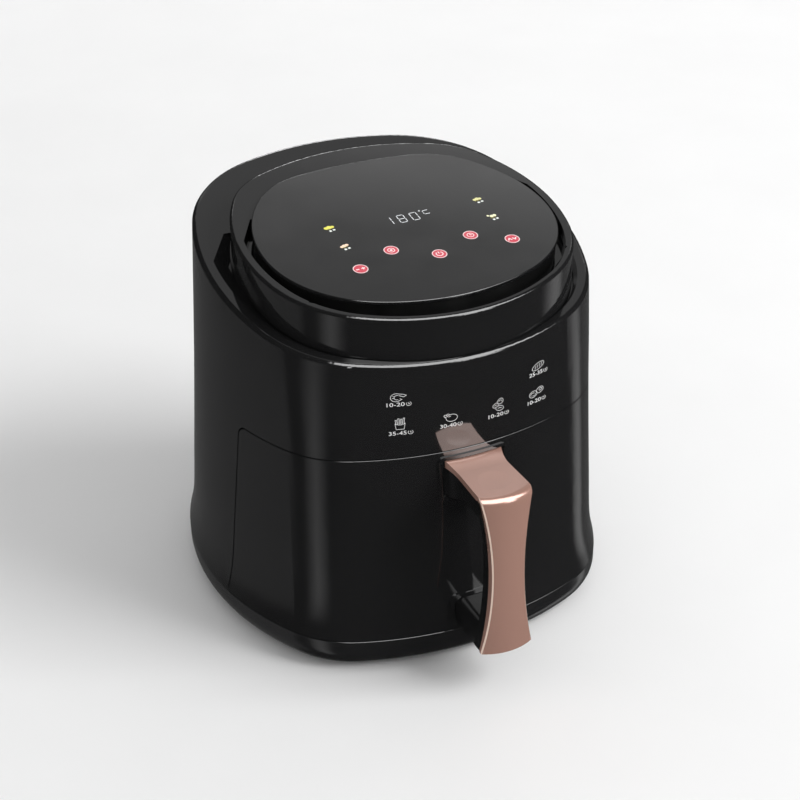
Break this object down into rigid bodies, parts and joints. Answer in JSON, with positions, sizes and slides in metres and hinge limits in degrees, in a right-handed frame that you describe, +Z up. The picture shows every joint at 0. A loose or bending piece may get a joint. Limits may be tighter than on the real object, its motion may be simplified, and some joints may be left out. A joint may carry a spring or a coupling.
{
  "type": "air fryer",
  "caption": "Rounded-square drawer air fryer with a sloping touch panel on a raised lid ring, a wrap-round drawer front with a waisted metallic handle, and a flared base.",
  "frame": {"origin": "on the surface the object stands on, under the middle of its bounding box, on the plane of symmetry", "axes": "+Z up, the handle and drawer face -Y, +X to the right of someone facing the handle"},
  "size_m": [0.2918, 0.3341, 0.2868],
  "materials": {
    "base_black": "satin black",
    "board_green": "solder mask",
    "bronze": "sintered bronze",
    "cable_white": "flat ribbon",
    "ceramic": "unglazed steatite",
    "component_black": "moulded component",
    "element_steel": "heat-dulled stainless",
    "fan_aluminium": "satin",
    "handle_black": "black satin-gloss",
    "housing_black": "high-gloss black moulding",
    "inner_plastic": "fine-textured black",
    "lamination": "stacked steel sheet",
    "pan_coating": "dark non-stick coating",
    "panel_glass": "black-backed gloss touch panel",
    "rose_gold": "rose-gold anodised satin",
    "rubber": "matt black rubber",
    "sheet_steel": "cold-rolled galvanised",
    "silicone": "matt silicone",
    "winding": "enamelled wire under tape",
    "zinc_steel": "zinc-plated"
  },
  "bodies": {
    "housing": {"base_screws": "zinc_steel", "base_tray": "base_black", "board_capacitor": "fan_aluminium", "board_clips": "inner_plastic", "board_components": "component_black", "board_standoffs": "inner_plastic", "bottom_plate": "inner_plastic", "buzzer": "component_black", "chamber_gasket": "silicone", "chamber_liner": "sheet_steel", "collar_screws": "zinc_steel", "control_panel_glass": "panel_glass", "cord_inlet": "rubber", "display_module": "component_black", "door_switch": "component_black", "drawer_rails": "sheet_steel", "element_brackets": "sheet_steel", "element_guard": "sheet_steel", "element_seals": "ceramic", "exhaust_duct": "sheet_steel", "front_bulkhead": "inner_plastic", "heat_shield": "sheet_steel", "heating_element": "element_steel", "motor_bearings": "bronze", "motor_brackets": "sheet_steel", "motor_coil": "winding", "motor_standoffs": "zinc_steel", "motor_stator": "lamination", "motor_studs": "zinc_steel", "outer_shell": "housing_black", "panel_ribbon": "cable_white", "panel_tray": "inner_plastic", "power_board": "board_green", "rear_air_grille": "inner_plastic", "rubber_feet": "rubber", "temperature_probe": "element_steel", "thermal_fuse": "ceramic", "top_collar": "housing_black", "touch_board": "board_green", "touch_springs": "zinc_steel"},
    "drawer": {"drawer_front": "housing_black", "drawer_inner_cover": "inner_plastic", "pan": "pan_coating", "pan_screws": "zinc_steel", "handle_cover": "rose_gold", "handle_grip": "handle_black", "handle_screws": "zinc_steel", "handle_bezels": "housing_black"},
    "crisper": {"crisper_plate": "pan_coating", "crisper_bumpers": "silicone"},
    "fan_rotor": {"motor_shaft": "zinc_steel", "motor_rotor": "lamination", "convection_fan": "fan_aluminium", "fan_nut": "zinc_steel", "cooling_fan": "inner_plastic"},
    "switch_lever": {"switch_lever": "sheet_steel"}
  },
  "joints": [
    {"name": "drawer_slide", "type": "slide", "parent": "housing", "child": "drawer", "axis": [0, -1, 0], "range_m": [0, 0.245]},
    {"name": "crisper_lift", "type": "slide", "parent": "drawer", "child": "crisper", "axis": [0, 0, 1], "range_m": [0, 0.1125]},
    {"name": "fan_spin", "type": "hinge", "parent": "housing", "child": "fan_rotor", "pos_m": [0, 0.0228, 0.225], "axis": [0, 0, 1], "continuous": true},
    {"name": "lever_press", "type": "hinge", "parent": "housing", "child": "switch_lever", "pos_m": [0.1205, -0.0066, 0.141], "axis": [-1, 0, 0], "range_deg": [0, 8], "stiffness_Nm_per_rad": 0.002}
  ]
}
